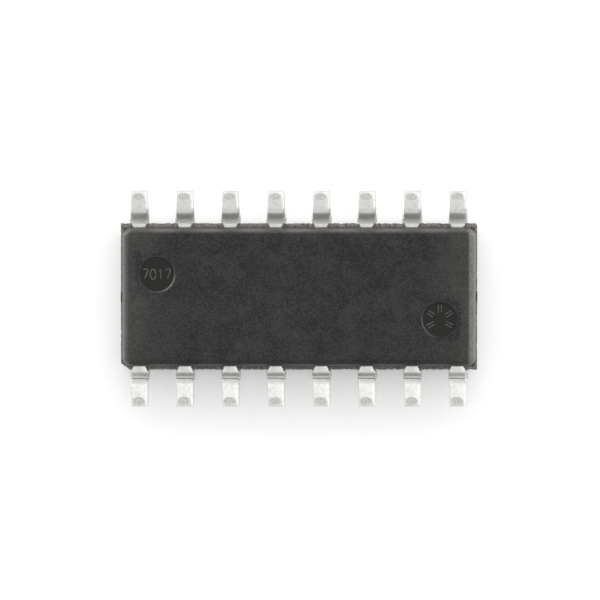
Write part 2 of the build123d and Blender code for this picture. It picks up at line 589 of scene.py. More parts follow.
@dataclass(frozen=True)
class Adhesive:
    """Silver-filled die adhesive: grey paste with bright flakes.

    Args:
        paste: Colour of the paste.
        flake: Colour of the flakes.
    """

    paste: Triple = (0.30, 0.29, 0.27)
    flake: Triple = (0.62, 0.60, 0.56)

    def material(self) -> bpy.types.Material:
        """Makes the material.

        Returns:
            The material.
        """
        nodes = Nodes(bpy.data.materials.new("die adhesive"))
        flakes = nodes.noise(0.015)
        return nodes.finish({
            "Base Color": nodes.ramp(flakes, [(0.45, self.paste), (0.6, self.flake)]),
            "Roughness": nodes.spread(flakes, 0.55, 0.3),
            "Normal": nodes.bump([(flakes, 0.003, 0.4)]),
        })


@dataclass(frozen=True)
class WhiteTable:
    """A white table top that stays white in the picture and keeps the package's shadow.

    Args:
        colour: Colour of the table.
        glow: Extra whiteness that only the camera and mirrored rays see.
    """

    colour: Triple = (0.97, 0.97, 0.97)
    glow: float = 0.32

    def material(self) -> bpy.types.Material:
        """Makes the material.

        Returns:
            The material.
        """
        nodes = Nodes(bpy.data.materials.new("white table"))
        stops = [(0.2, scaled(self.colour, 0.995)), (0.8, self.colour)]
        return nodes.finish({
            "Base Color": nodes.ramp(nodes.noise(2.0), stops),
            "Roughness": 1.0,
            "Specular IOR Level": 0.0,
            "Emission Color": (1.0, 1.0, 1.0, 1.0),
            "Emission Strength": nodes.spread(nodes.seen(), 0.0, self.glow, 0.0, 1.0),
        })


@dataclass(frozen=True)
class Package:
    """Driving dimensions of the package, in millimetres and degrees.

    Args:
        half_length: From the middle to the mould line at an end.
        half_width: From the middle to the mould line at a long side.
        height: From the marked face to the foot side of the body.
        seat: Height of the seating plane that the feet touch.
        lead_low: Height of the leads' lower side where they leave the body.
        reach: From the mould line to the tip of a toe.
        leads_per_side: Leads in a row. This and the sizes below are those of the part's source.
        pitch: Spacing of the leads.
        thickness: Thickness of the leads.
        draft: Slope of the body's walls from upright, in degrees.
        face_edge_radius: Rounding of the edges of both flat faces.
        flash_north: How far the resin's flash stands out on the north side.
        flash_south: The same on the south side.
        flash_end: The same at both ends.
        dam_start: From the mould line to the stubs of the dam bar.
        exit_width: Width of a lead at the mould line.
        lead_width: Width of a lead from the dam bar on.
    """

    half_length: float
    half_width: float
    height: float
    seat: float
    lead_low: float
    reach: float
    leads_per_side: int = 8
    pitch: float = 1.27
    thickness: float = 0.20
    draft: float = 8.0
    face_edge_radius: float = 0.20
    flash_north: float = 0.115
    flash_south: float = 0.10
    flash_end: float = 0.035
    dam_start: float = 0.12
    exit_width: float = 0.40
    lead_width: float = 0.50

    @classmethod
    def from_frame(cls) -> "Package":
        """Reads the body's and a lead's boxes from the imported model.

        Returns:
            The package.
        """
        _, body_high = (np.array(corner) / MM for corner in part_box("moulding"))
        lead_low, lead_high = (np.array(corner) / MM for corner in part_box("lead_01"))
        half_width = body_high[1] - cls.flash_north
        return cls(
            half_length=body_high[0] - cls.flash_end,
            half_width=half_width,
            height=body_high[2],
            seat=lead_high[2],
            lead_low=lead_low[2],
            reach=lead_high[1] - half_width,
        )

    @property
    def lead_high(self) -> float:
        """Height of the leads' upper side where they leave the body."""
        return self.lead_low + self.thickness

    @property
    def lead_places(self) -> np.ndarray:
        """X places of the leads of one row, from west to east."""
        return (np.arange(self.leads_per_side) - (self.leads_per_side - 1) / 2) * self.pitch


@dataclass(frozen=True)
class Pit:
    """A round pit in a flat face.

    Args:
        centre: X and Y of its middle.
        radius: Its radius.
        depth: How far its floor lies below the face.
        slope: Width of its wall, from the floor to the face.
        lip: Height of the burr round its edge.
        glint: Direction of the painted highlight on the rim, in degrees from east.
        pale: How strong the painted highlight is there, from 0 to 1.
        low: Lowest X and Y of the square patch of the face that it is set in.
        high: Highest X and Y of that patch.
    """

    centre: Pair
    radius: float
    depth: float
    slope: float
    lip: float
    glint: float
    pale: float
    low: Pair
    high: Pair

    def surface(self, steps: int, level: float, up: int, shell: Shell) -> None:
        """Adds the patch: rings that are circles inside and pass into the square outside.

        A ring is a circle of radius r about the pit's middle, met in the directions of the
        square's own boundary points. Outside the pit, rings are mixed in even shares of the
        last circle and the square. The height of a ring depends on its radius alone.

        Args:
            steps: Number of steps along each side of the square.
            level: Height of the flat face.
            up: 1 if the face looks up, -1 if it looks down.
            shell: Where the patch is added.
        """
        along = np.linspace(0, 1, steps + 1)[:-1]
        none, full = 0 * along, 1 + 0 * along
        sides = ((along, none), (full, along), (1 - along, full), (none, 1 - along))
        square = np.concatenate([np.stack(side, 1) for side in sides])
        square = np.array(self.low) + square * (np.array(self.high) - np.array(self.low))
        centre = np.array(self.centre)
        toward = square - centre
        toward /= np.linalg.norm(toward, axis=1, keepdims=True)
        wall = self.radius - self.slope
        reach = max(self.lip, 0.004)
        radii = np.concatenate(
            [
                np.linspace(0, wall, 14)[1:],
                wall + self.slope * np.array([0.15, 0.35, 0.6, 0.85, 1.0]),
                self.radius + reach * np.array([0.8, 1.8, 3.0, 5.0]),
            ]
        )
        burr = self.lip * np.exp(-(((radii - self.radius - 1.4 * reach) / (1.2 * reach)) ** 2))
        heights = level - up * (self.depth * (1 - ease((radii - wall) / self.slope)) - burr)
        rings = centre + radii[:, None, None] * toward[None]
        shares = np.linspace(0, 1, 5)[1:, None, None]
        outer = rings[-1] * (1 - shares) + square[None] * shares
        plan = np.concatenate([rings, outer])
        heights = np.concatenate([heights, np.full(len(outer), level)])
        z = np.broadcast_to(heights[:, None, None], (*plan.shape[:2], 1))
        flat = np.zeros(len(outer))
        floor = np.concatenate([-ease((wall + 0.3 * self.slope - radii) / 0.01), flat])
        # The rim ring's shade is a painted highlight: strongest toward the glint direction, and
        # weaker all round.
        rim = np.exp(-(((radii - self.radius + 0.3 * self.slope) / (0.8 * self.slope)) ** 2))
        bearing = np.arctan2(toward[:, 1], toward[:, 0]) - math.radians(self.glint)
        rubbed = self.pale * (0.15 + 0.85 * np.maximum(np.cos(bearing), 0) ** 4)
        shade = floor[:, None] + np.concatenate([rim, flat])[:, None] * rubbed[None]
        around = len(square)
        quads = grid_quads(len(plan), around, closed=True)[:, ::up]
        first = shell.add(np.concatenate([plan, z], axis=2), quads, shade=shade)
        shell.close(first, around, np.array([*self.centre, heights[0]]), up < 0, shade=-1.0)


@dataclass
class Moulding:
    """The resin body, its flash and what stands in its ejector marks.

    Args:
        package: The package's dimensions.
        finish: The resin's finish.
        mark_radius: Radius of an ejector mark.
        mark_depth: Depth of an ejector mark.
        mark_slope: Width of a mark's wall, from its floor to the face.
        mark_lip: Height of the burr round a mark.
        mark_patch: Half the side of the square patch that a mark is set in.
        west_mark: Place of the western mark, from the west end and the north side.
        east_mark: Place of the eastern mark, from the east end and the south side.
        dimple_radius: Radius of the dimple beside the first lead, in the marked face.
        dimple_depth: Depth of the dimple.
        dimple_slope: Width of the dimple's wall.
        dimple_place: Place of the dimple, from the west end and the north side.
        grid_step: Spacing of the flat faces' grid lines outside the square patches.
        patch_steps: Steps along a side of a mark's square patch.
        edge_steps: Points of the edge profile.
        east_sheen: How pale the eastern edge and wall are painted, from 0 to 1: a painted sheen.
        west_sheen: The same for the western edge.
        north_sheen: The same for the northern wall.
        south_sheen: The same for the southern wall.
        end_paling: How much paler the flat faces are painted towards both ends.
        paling_start: Distance from the middle at which they begin to grow paler.
        paling_reach: Length over which they do.
        gate_drop: How far the gate's scar reaches past the flash at the south-west corner.
        mark_glints: For each mark, the direction in degrees from east of the painted highlight on
            its rim, and how strong it is there.
        stroke_rise: Height of the raised strokes in the marks.
        digit_height: Height of a digit.
        digit_width: Width of a digit's stroke.
        bar_width: Width of a bar.
        bar_reach: Where a bar begins and ends, from the middle of its mark.
        bar_side: How far each bar of a pair lies beside the pair's middle.
        bar_angles: Directions of the pairs of bars, in degrees from east.
        corner: Size of the flash's rounded corners at the north side.
        inset: How far the flash reaches into the body.
        clearance: How far the flash stays inside the leads' thickness and its own full width.
        ragged: Depth of the flash's uneven edge.
        line_step: Spacing of the points of the flash's outline.
    """

    package: Package
    finish: MouldedResin
    mark_radius: float = 0.50
    mark_depth: float = 0.030
    mark_slope: float = 0.03
    mark_lip: float = 0.006
    mark_patch: float = 0.58
    west_mark: Pair = (0.98, 1.28)
    east_mark: Pair = (1.02, 1.35)
    dimple_radius: float = 0.30
    dimple_depth: float = 0.05
    dimple_slope: float = 0.05
    dimple_place: Pair = (0.95, 1.10)
    grid_step: float = 0.10
    patch_steps: int = 36
    edge_steps: int = 16
    # Painted sheen on the edges and walls, stronger where each side catches more light.
    east_sheen: float = 0.66
    west_sheen: float = 0.47
    north_sheen: float = 0.32
    south_sheen: float = 0.06
    # The flat faces are painted paler towards both ends.
    end_paling: float = 0.09
    paling_start: float = 3.4
    paling_reach: float = 1.4
    gate_drop: float = 0.09
    # Painted highlight on each mark's rim: its direction and strength.
    mark_glints: tuple[Pair, Pair] = ((-38.0, 0.75), (205.0, 0.40))
    stroke_rise: float = 0.022
    digit_height: float = 0.28
    digit_width: float = 0.05
    bar_width: float = 0.045
    bar_reach: Pair = (0.18, 0.42)
    bar_side: float = 0.042
    bar_angles: tuple[int, ...] = (90, 147, 210, 332, 33)
    corner: float = 0.09
    inset: float = 0.09
    clearance: float = 0.003
    ragged: float = 0.008
    line_step: float = 0.008

    def mark_centres(self) -> tuple[Pair, Pair]:
        """Middles of the western and the eastern mark.

        Returns:
            X and Y of each.
        """
        package = self.package
        west = (-package.half_length + self.west_mark[0], package.half_width - self.west_mark[1])
        east = (package.half_length - self.east_mark[0], -package.half_width + self.east_mark[1])
        return west, east

    def edge_profile(self, rise: float) -> tuple[np.ndarray, np.ndarray]:
        """The rounded edge and drafted wall, seen in section.

        First an arc of the edge's radius, which turns from level to the wall's slope, then the
        straight wall down to the mould line.

        Args:
            rise: Height of the flat face above the mould line.

        Returns:
            How far out and how far down each of the profile's points lies from the flat's edge.
        """
        radius = self.package.face_edge_radius
        draft = math.radians(self.package.draft)
        turn = np.linspace(0, math.pi / 2 - draft, self.edge_steps - 4)
        out = radius * np.sin(turn)
        down = radius * (1 - np.cos(turn))
        share = np.linspace(0, 1, 6)[1:]
        left = rise - down[-1]
        wall_out = out[-1] + share * left * math.tan(draft)
        return np.concatenate([out, wall_out]), np.concatenate([down, down[-1] + share * left])

    def lines(self, half: float, spans: list[Pair]) -> np.ndarray:
        """Places of the grid lines across the flat face in one direction.

        Args:
            half: Half the flat's size in this direction.
            spans: Stretches that the square patches take, in rising order.

        Returns:
            The places, from -half to half.
        """
        stops = [-half, *(end for span in spans for end in span), half]
        places = [np.array([-half])]
        for number, (low, high) in enumerate(zip(stops, stops[1:])):
            between = max(1, round((high - low) / self.grid_step))
            steps = self.patch_steps if number % 2 else between
            places.append(np.linspace(low, high, steps + 1)[1:])
        return np.concatenate(places)

    def half_shell(self, level: float, mould: float, pits: list[Pit], shell: Shell) -> np.ndarray:
        """Adds one half of the body, as a cloth of grid lines drawn over a rounded block.

        A point's two line numbers say how far it lies past the flat in each direction, as a
        share of the edge profile. The larger share picks the point of the profile, and the
        smaller, over the larger, picks the direction round the corner, from 0 to 45 degrees.

        Args:
            level: Height of the flat face.
            mould: Height of the mould line.
            pits: The pits in the flat face.
            shell: Where the surface is added.

        Returns:
            The closed loop of points along the mould line, counter-clockwise seen from above.
        """
        up = 1 if level > mould else -1
        out, down = self.edge_profile(abs(level - mould))
        package = self.package
        flat_x = package.half_length - out[-1]
        flat_y = package.half_width - out[-1]
        west, east = self.mark_centres()
        size = self.mark_patch
        lines_x = self.lines(flat_x, [(c[0] - size, c[0] + size) for c in (west, east)])
        lines_y = self.lines(flat_y, [(c[1] - size, c[1] + size) for c in (east, west)])
        steps = len(out) - 1
        before = np.arange(-steps, 0) / steps

        def spread_lines(lines: np.ndarray) -> tuple[np.ndarray, np.ndarray]:
            """Adds the edge profile's lines at both ends of the flat's lines.

            Args:
                lines: Places of the flat's lines.

            Returns:
                For each line, its place on the flat, and how far it lies past the flat.
            """
            base = np.concatenate([np.full(steps, lines[0]), lines, np.full(steps, lines[-1])])
            past = np.concatenate([before, np.zeros(len(lines)), -before[::-1]])
            return base, past

        base_x, past_x = spread_lines(lines_x)
        base_y, past_y = spread_lines(lines_y)
        flat_at_x, flat_at_y = np.meshgrid(base_x, base_y, indexing="ij")
        over_x, over_y = np.meshgrid(past_x, past_y, indexing="ij")
        far = np.maximum(abs(over_x), abs(over_y))
        near = np.minimum(abs(over_x), abs(over_y))
        turn = math.pi / 4 * near / np.where(far > 0, far, 1)
        angle = np.where(abs(over_x) >= abs(over_y), turn, math.pi / 2 - turn)
        share = np.arange(steps + 1) / steps
        reach = np.interp(far, share, out)
        eastward = np.cos(angle) * np.sign(over_x)
        northward = np.sin(angle) * np.sign(over_y)
        x = flat_at_x + reach * eastward
        y = flat_at_y + reach * northward
        z = level - up * np.interp(far, share, down)
        points = np.stack([x, y, z], axis=2)
        rows, columns = x.shape
        quads = grid_quads(rows, columns).reshape(rows - 1, columns - 1, 4)
        kept = np.ones((rows - 1, columns - 1), bool)
        cell_x = (base_x[:-1] + base_x[1:]) / 2
        cell_y = (base_y[:-1] + base_y[1:]) / 2
        for pit in pits:
            pit.surface(self.patch_steps, level, up, shell)
            in_x = (cell_x > pit.low[0]) & (cell_x < pit.high[0])
            in_y = (cell_y > pit.low[1]) & (cell_y < pit.high[1])
            kept &= ~(in_x[:, None] & in_y[None, :])
        # Painted sheen: the edges and walls are painted paler where they catch more light.
        shade = self.painted_sheen(reach / out[-1], eastward, northward)
        # The flat faces are painted paler towards both ends.
        paling = self.end_paling * ease((abs(x) - self.paling_start) / self.paling_reach)
        shade = np.maximum(shade, paling)
        shell.add(points, quads[kept][:, ::up], shade=shade)
        return np.concatenate(
            [points[:-1, 0], points[-1, :-1], points[:0:-1, -1], points[0, :0:-1]]
        )

    def painted_sheen(self, share: np.ndarray, eastward: np.ndarray, northward: np.ndarray) -> np.ndarray:
        """How pale the edges and walls are painted, from 0 to 1: a painted sheen.

        The sheen stands in for the light that the walls catch, strongest at the east end, then at
        the west end and the north wall. It is painted from the rounded edge down at the ends, and
        only low on the wall along the long sides.

        Args:
            share: Place on the edge profile, from 0 at the flat face to 1 at the mould line.
            eastward: How far the wall there faces east, from -1 to 1.
            northward: How far it faces north.

        Returns:
            The painted sheen at each point.
        """
        east = self.east_sheen * np.maximum(eastward, 0) * ease(share / 0.42)
        west = self.west_sheen * np.maximum(-eastward, 0) * ease((share + 0.1) / 1.05)
        low = ease((share - 0.35) / 0.45)
        north = self.north_sheen * np.maximum(northward, 0) * low
        south = self.south_sheen * np.maximum(-northward, 0) * low
        return east + west + north + south

    def build_body(self) -> Piece:
        """Both halves and the upright band between them.

        Returns:
            The piece.
        """
        package = self.package
        centres = self.mark_centres()
        size = self.mark_patch
        squares = [((c[0] - size, c[1] - size), (c[0] + size, c[1] + size)) for c in centres]
        mark_sizes = (self.mark_radius, self.mark_depth, self.mark_slope, self.mark_lip)
        marks = [
            Pit(centre, *mark_sizes, *rim, *square)
            for centre, rim, square in zip(centres, self.mark_glints, squares)
        ]
        inward, southward = self.dimple_place
        dimple_centre = (-package.half_length + inward, package.half_width - southward)
        dimple_sizes = (self.dimple_radius, self.dimple_depth, self.dimple_slope)
        dimple = Pit(dimple_centre, *dimple_sizes, 0.0, 0.0, 0.0, *squares[0])
        shell = Shell()
        upper = self.half_shell(package.height, package.lead_high, marks, shell)
        lower = self.half_shell(0.0, package.lead_low, [dimple], shell)
        band = np.stack([lower, upper])
        shell.add(band, grid_quads(2, len(upper), closed=True)[:, ::-1])
        return shell.build("body_shell")

    def flash_outline(self) -> tuple[np.ndarray, np.ndarray, np.ndarray]:
        """Outer edge of the flash, once round from the south-west corner, counter-clockwise.

        Each side is a straight line at its own distance from the mould line plus an uneven
        line. Beside a lead the edge runs in along the lead's tapered flank and passes under it
        inside the body. At the south-west corner the edge slants off to the gate's scar.

        Returns:
            X and Y of the outer edge, and 1 where the flash shows or 0 where it is hidden.
        """
        package = self.package
        end_x = package.half_length + package.flash_end
        count = int(2 * end_x / self.line_step)
        x = np.linspace(-end_x, end_x, count)
        gap = np.abs(x[:, None] - package.lead_places[None]).min(axis=1)
        flank = (gap - package.exit_width / 2) / (package.lead_width - package.exit_width) * 2

        def long_side(width: float, seed: int) -> np.ndarray:
            """How far the flash of a long side stands out.

            Args:
                width: Its largest width.
                seed: Seed of its uneven line.

            Returns:
                The distance from the mould line at each x.
            """
            ragged = width - self.clearance - self.ragged * np.abs(rough_line(count, 9, seed))
            ragged += 0.005 * np.clip(rough_line(count, 3, seed + 1), -1.5, 1.0)
            edge = np.minimum(ragged, width)
            return np.where(flank > 0, np.minimum(edge, flank * package.dam_start), -0.03)

        north = package.half_width + long_side(package.flash_north, 11)
        corner = np.clip((x - (end_x - self.corner)) / self.corner, 0, 1)
        north -= self.corner * (1 - np.sqrt(1 - corner**2))
        south_out = long_side(package.flash_south, 23)
        scar_x = package.lead_places[0] - package.lead_width / 2
        slant = (x - scar_x) / (scar_x + end_x) * (package.dam_start + self.gate_drop)
        slant += package.dam_start
        south_out = np.where(x < scar_x, slant - 0.004 * np.abs(rough_line(count, 5, 31)), south_out)
        south = -package.half_width - south_out

        def short_side(low: float, high: float, seed: int) -> tuple[np.ndarray, np.ndarray]:
            """Outer edge of the flash of an end.

            Args:
                low: Y where it begins.
                high: Y where it ends.
                seed: Seed of its uneven line.

            Returns:
                Distance from the package's middle and Y of each point.
            """
            rows = int((high - low) / self.line_step)
            y = np.linspace(low, high, rows + 2)[1:-1]
            tie = np.clip((0.17 - np.abs(y)) / 0.02, 0, 1)
            ragged = 0.002 + 0.005 * np.abs(rough_line(rows, 11, seed)) + 0.012 * tie
            return end_x - np.minimum(ragged, package.flash_end - 0.012), y

        east_x, east_y = short_side(south[-1], north[-1], 41)
        west_x, west_y = short_side(south[0], north[0], 43)
        outline_x = np.concatenate([x, east_x, x[::-1], -west_x[::-1]])
        outline_y = np.concatenate([south, east_y, north[::-1], west_y[::-1]])
        shown_long = (flank > 0).astype(float)
        east_shown, west_shown = np.ones(len(east_y)), np.ones(len(west_y))
        shown = np.concatenate([shown_long, east_shown, shown_long[::-1], west_shown])
        return outline_x, outline_y, shown

    def build_flash(self) -> Piece:
        """The flash: a flat section, broken at its outer side, carried round its outline.

        Each point of the section lies at a share of the way from a line inside the body to
        the outer edge, and at a share of the leads' thickness, both roughened where it is broken.

        Returns:
            The piece.
        """
        package = self.package
        outline_x, outline_y, shown = self.flash_outline()
        limit_x, limit_y = package.half_length - self.inset, package.half_width - self.inset
        inner_x = np.clip(outline_x, -limit_x, limit_x)
        inner_y = np.clip(outline_y, -limit_y, limit_y)
        outward = np.array([0.0, 0.5, 0.80, 0.93, 0.99, 1.0, 0.985, 0.99, 0.95, 0.80, 0.5, 0.0])
        upward = np.array([1.0, 1.0, 1.0, 0.985, 0.90, 0.68, 0.50, 0.30, 0.08, 0.0, 0.0, 0.0])
        low = package.lead_low + self.clearance
        high = package.lead_high - self.clearance
        count = len(outline_x)
        chips = np.stack([rough_line(count, 4, 60 + k) for k in range(len(outward))], axis=1)
        chips = np.clip(chips, -2.0, 0.6) * shown[:, None]
        broken = (outward > 0.7).astype(float) * (outward < 1.0)
        share = np.minimum(outward[None] + 0.035 * chips * broken, 1.0)
        x = inner_x[:, None] + share * (outline_x - inner_x)[:, None]
        y = inner_y[:, None] + share * (outline_y - inner_y)[:, None]
        z = low + (high - low) * upward[None] + 0 * x
        z -= 0.010 * np.abs(chips) * (outward[None] > 0.45) * (upward[None] > 0.9)
        points = np.stack([x, y, z], axis=2)
        points = np.concatenate([points, points[:1]])
        quads = grid_quads(count + 1, len(outward), closed=True)
        shade = np.clip((outward[None] - 0.2) * 2.5, 0, 1) * (0.80 + 0.25 * chips)
        shade = np.concatenate([shade, shade[:1]])
        shell = Shell()
        shell.add(points, quads, shade=np.clip(shade, 0, 1))
        return shell.build("flash")

    def ridge(self, route: np.ndarray, width: float, floor: float, shell: Shell) -> None:
        """Adds a raised stroke: a half-round section carried along a route in plan.

        The section is half an ellipse, as wide as the stroke and as high, and it shrinks to
        nothing over the last point at each end, which closes it.

        Args:
            route: Points of shape (n, 2) in plan.
            width: Width of the stroke.
            floor: Height that it stands on.
            shell: Where the surface is added.
        """
        heading = np.gradient(route, axis=0)
        heading /= np.linalg.norm(heading, axis=1, keepdims=True)
        across = np.stack([heading[:, 1], -heading[:, 0]], axis=1)
        size = np.ones(len(route))
        size[[0, -1]] = 0.02
        angle = np.linspace(-0.15, math.pi + 0.15, 11)
        sideways = (width / 2 * np.cos(angle))[None, :, None] * size[:, None, None]
        plan = route[:, None] + sideways * across[:, None]
        z = floor + self.stroke_rise * np.sin(angle)[None] * size[:, None]
        points = np.concatenate([plan, z[:, :, None]], axis=2)
        shell.add(points, grid_quads(len(route), len(angle), closed=True)[:, ::-1], shade=0.22)

    def digit_routes(self, digit: int) -> list[np.ndarray]:
        """Strokes of a plain digit about its own middle, for a row of mould numbers.

        A nought is an ellipse. A one is an upright with a short flag. A seven is a bar and a
        slanting leg.

        Args:
            digit: 0, 1 or 7.

        Returns:
            One array of points for each stroke.
        """
        half = self.digit_height / 2
        wide = 0.28 * self.digit_height

        def straight(start: Pair, end: Pair) -> np.ndarray:
            """Even points from start to end."""
            share = np.linspace(0, 1, 9)[:, None]
            return np.array(start) * (1 - share) + np.array(end) * share

        if digit == 0:
            angle = np.linspace(0, 2 * math.pi, 33)
            return [np.stack([wide * np.cos(angle), half * np.sin(angle)], axis=1)]
        if digit == 1:
            return [
                straight((0.1 * wide, half), (0.1 * wide, -half)),
                straight((-0.7 * wide, 0.55 * half), (0.1 * wide, half)),
            ]
        return [
            straight((-wide, half), (wide, half)),
            straight((wide, half), (-0.35 * wide, -half)),
        ]

    def build_mark(self, name: str, centre: Pair, fill: MarkFill) -> Piece:
        """The raised strokes on the floor of an ejector mark.

        Args:
            name: Name of the piece.
            centre: Middle of the mark.
            fill: Whether it holds a row of plain digits or a wheel of plain bars.

        Returns:
            The piece.
        """
        floor = self.package.height - self.mark_depth
        shell = Shell()
        if fill is MarkFill.DIGITS:
            for place, digit in enumerate((7, 0, 1, 7)):
                offset = np.array([(place - 1.5) * 0.75 * self.digit_height, 0.0])
                for route in self.digit_routes(digit):
                    placed = route + offset + np.array(centre)
                    self.ridge(placed, self.digit_width, floor, shell)
        else:
            share = np.linspace(*self.bar_reach, 9)[:, None]
            for angle in np.radians(np.array(self.bar_angles)):
                outward = np.array([[math.cos(angle), math.sin(angle)]])
                across = np.array([[-math.sin(angle), math.cos(angle)]])
                for side in (-self.bar_side, self.bar_side):
                    spoke = share * outward + side * across + np.array(centre)
                    self.ridge(spoke, self.bar_width, floor, shell)
        return shell.build(name)

    def build(self) -> None:
        """Makes every resin piece and gives it its finish."""
        west, east = self.mark_centres()
        body = self.build_body()
        pieces = (
            body,
            self.build_flash(),
            self.build_mark("west_mark_digits", west, MarkFill.DIGITS),
            self.build_mark("east_mark_bars", east, MarkFill.BARS),
        )
        material = self.finish.material()
        for piece in pieces:
            piece.data.materials.append(material)
            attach(piece, BODY)
            LOG.info("%s: %d faces", piece.name, len(piece.data.polygons))
        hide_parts("moulding")


@dataclass(frozen=True)
class RowForm:
    """How one row of leads was formed.

    Args:
        shoulder: Level stretch from the mould line to the first bend.
        knee_radius: Radius of the bend from the shoulder to the leg, at the middle of the strip.
        lean: Slope of the leg from upright, in degrees.
        scoring: How much of the frosting is rubbed off along the tool's line in the heel.
        arch_frost: How frosted the plating is inside the arch on the knee; below 1 it is painted
            shade.
    """

    shoulder: float
    knee_radius: float
    lean: float
    scoring: float
    arch_frost: float


@dataclass
class Leads:
    """The sixteen formed leads.

    Args:
        package: The package's dimensions.
        finish: The plating's finish.
        north: Form of the northern row, whose legs stand a little further out.
        south: Form of the southern row, whose legs stand closer to the body.
        heel_radius: Radius of the bend from the leg to the foot, at the middle of the strip.
        rise: Slope of the foot from level, in degrees.
        pad_from_toe: From the tip to where the foot first touches the seating plane.
        toe_radius: Rounding of the toe's upper edge.
        droop_start: Where the foot begins to droop towards the toe, outward from the mould line.
        droop: How fast it droops, in millimetres down per square millimetre along.
        crown: How far the middle of the foot's upper side stands above its edges.
        east_edge: Rounding of the strip's upper edge on its eastern side.
        west_edge: Rounding of the strip's upper edge on its western side.
        lower_edge: Rounding of the strip's lower edges.
        pad_at: Middle of the pad: eastward of the lead's middle and outward from the mould line.
        pad_size: Half the pad's width and half its length.
        tool_line: Sine of the heading where the forming tool rubbed a fine line in the heel.
        tool_width: Width of that line, in the sine.
        toe_width: Width of the foot at the toe.
        stub_slope: Length over which a stub rises from the strip's side and falls to it again.
        stub_width: Width over the dam bar's stubs.
        dam_end: End of the stubs, along the strip from the mould line.
        anchor: How far the strip runs into the body from the mould line.
        step: Spacing of the stations along the strip.
    """

    package: Package
    finish: TinPlate
    # arch_frost below 1 paints a darker arch of shade on the knee.
    north: RowForm = RowForm(shoulder=0.09, knee_radius=0.28, lean=13.0, scoring=0.2, arch_frost=0.95)
    south: RowForm = RowForm(shoulder=0.158, knee_radius=0.165, lean=2.8, scoring=1.0, arch_frost=0.85)
    heel_radius: float = 0.16
    rise: float = 4.0
    pad_from_toe: float = 0.28
    toe_radius: float = 0.04
    droop_start: float = 0.80
    droop: float = 0.333
    crown: float = 0.006
    east_edge: float = 0.09
    west_edge: float = 0.03
    pad_at: Pair = (-0.036, 0.905)
    pad_size: Pair = (0.17, 0.105)
    lower_edge: float = 0.012
    tool_line: float = 0.83
    tool_width: float = 0.08
    toe_width: float = 0.48
    stub_slope: float = 0.014
    stub_width: float = 0.55
    dam_end: float = 0.34
    anchor: float = 0.32
    step: float = 0.008

    def corner_points(self, form: RowForm, lean: float, rise: float) -> np.ndarray:
        """Corners of the strip's middle line, before its bends are rounded.

        The knee's arc begins at the end of the shoulder. The foot's upper side meets the
        seating plane over its first point of contact, and the leg ends where it meets the foot.

        Args:
            form: The row's form.
            lean: Slope of the leg from upright, in radians.
            rise: Slope of the foot from level, in radians.

        Returns:
            An array of shape (4, 2): outward from the mould line, and up.
        """
        package = self.package
        middle = package.lead_low + package.thickness / 2
        knee = form.shoulder + form.knee_radius * math.tan((math.pi / 2 - lean) / 2)
        heel_side = package.reach - self.pad_from_toe
        foot = package.seat - package.thickness / 2 / math.cos(rise)
        climb = foot - middle - (heel_side - knee) * math.tan(rise)
        leg = climb / (1 - math.tan(lean) * math.tan(rise))
        toe = package.reach
        return np.array(
            [
                (-self.anchor, middle),
                (knee, middle),
                (knee + leg * math.tan(lean), middle + leg),
                (toe, foot + (toe - heel_side) * math.tan(rise)),
            ]
        )

    def middle_line(
        self, form: RowForm, lean: float, rise: float
    ) -> tuple[np.ndarray, np.ndarray, np.ndarray]:
        """The strip's middle line: straight runs joined by arcs, sampled at even steps.

        A corner's arc touches its two runs at the radius times the tangent of half the turn
        from the corner. Along an arc, the heading turns in proportion to the length. Near the
        toe the line droops by a parabola.

        Args:
            form: The row's form.
            lean: Slope of the leg from upright, in radians.
            rise: Slope of the foot from level, in radians.

        Returns:
            The points, their headings in radians and their lengths from the mould line.
        """
        corners = self.corner_points(form, lean, rise)
        runs = np.diff(corners, axis=0)
        headings = np.arctan2(runs[:, 1], runs[:, 0])
        lengths = np.linalg.norm(runs, axis=1)
        turns = np.diff(headings)
        radii = np.array([form.knee_radius, self.heel_radius])
        cuts = radii * np.tan(np.abs(turns) / 2)
        arcs = radii * np.abs(turns)
        straights = lengths - np.concatenate([[0], cuts]) - np.concatenate([cuts, [0]])
        stops = np.cumsum([0, straights[0], arcs[0], straights[1], arcs[1], straights[2]])
        count = int(stops[-1] / self.step) + 1
        along = np.linspace(0, stops[-1], count)
        knots = [headings[0], headings[0], headings[1], headings[1], headings[2], headings[2]]
        heading = np.interp(along, stops, knots)
        fine = np.linspace(0, stops[-1], 20 * count)
        fine_heading = np.interp(fine, stops, knots)
        gaps = np.diff(fine)
        middles = (fine_heading[1:] + fine_heading[:-1]) / 2
        out = corners[0, 0] + np.concatenate([[0], np.cumsum(np.cos(middles) * gaps)])
        up = corners[0, 1] + np.concatenate([[0], np.cumsum(np.sin(middles) * gaps)])
        past = np.maximum(out - self.droop_start, 0)
        up -= self.droop * past * past
        points = np.stack([np.interp(along, fine, out), np.interp(along, fine, up)], axis=1)
        return points, heading, along - self.anchor

    def section(self, half: np.ndarray, east: int) -> tuple[np.ndarray, np.ndarray]:
        """Section of the strip: a rectangle with rounded edges and a crowned upper side.

        The corners are quarter circles, each of its own radius. The upper side falls by the
        crown from its middle to its edges, with the square of the distance.

        Args:
            half: Half the strip's width at each station.
            east: 1 if the section's positive side is the eastern one, -1 if it is the western.

        Returns:
            Sideways places of shape (stations, points), and heights of shape (points,).
        """
        half_thick = self.package.thickness / 2
        top_level = half_thick - self.crown
        flat = np.linspace(-1, 1, 6)
        arch = np.linspace(1, -1, 31)
        low_turn = np.linspace(-math.pi / 2, 0, 4)[1:]
        high_turn = np.linspace(0, math.pi / 2, 9)[:-1]
        lower, right, left = self.lower_edge, self.east_edge, self.west_edge
        wide = half[:, None]
        middle = (left - right) / 2

        def corner(radius: float, turn: np.ndarray) -> np.ndarray:
            """Sideways places of a quarter circle at the positive side."""
            return (wide - radius) + radius * np.cos(turn)[None]

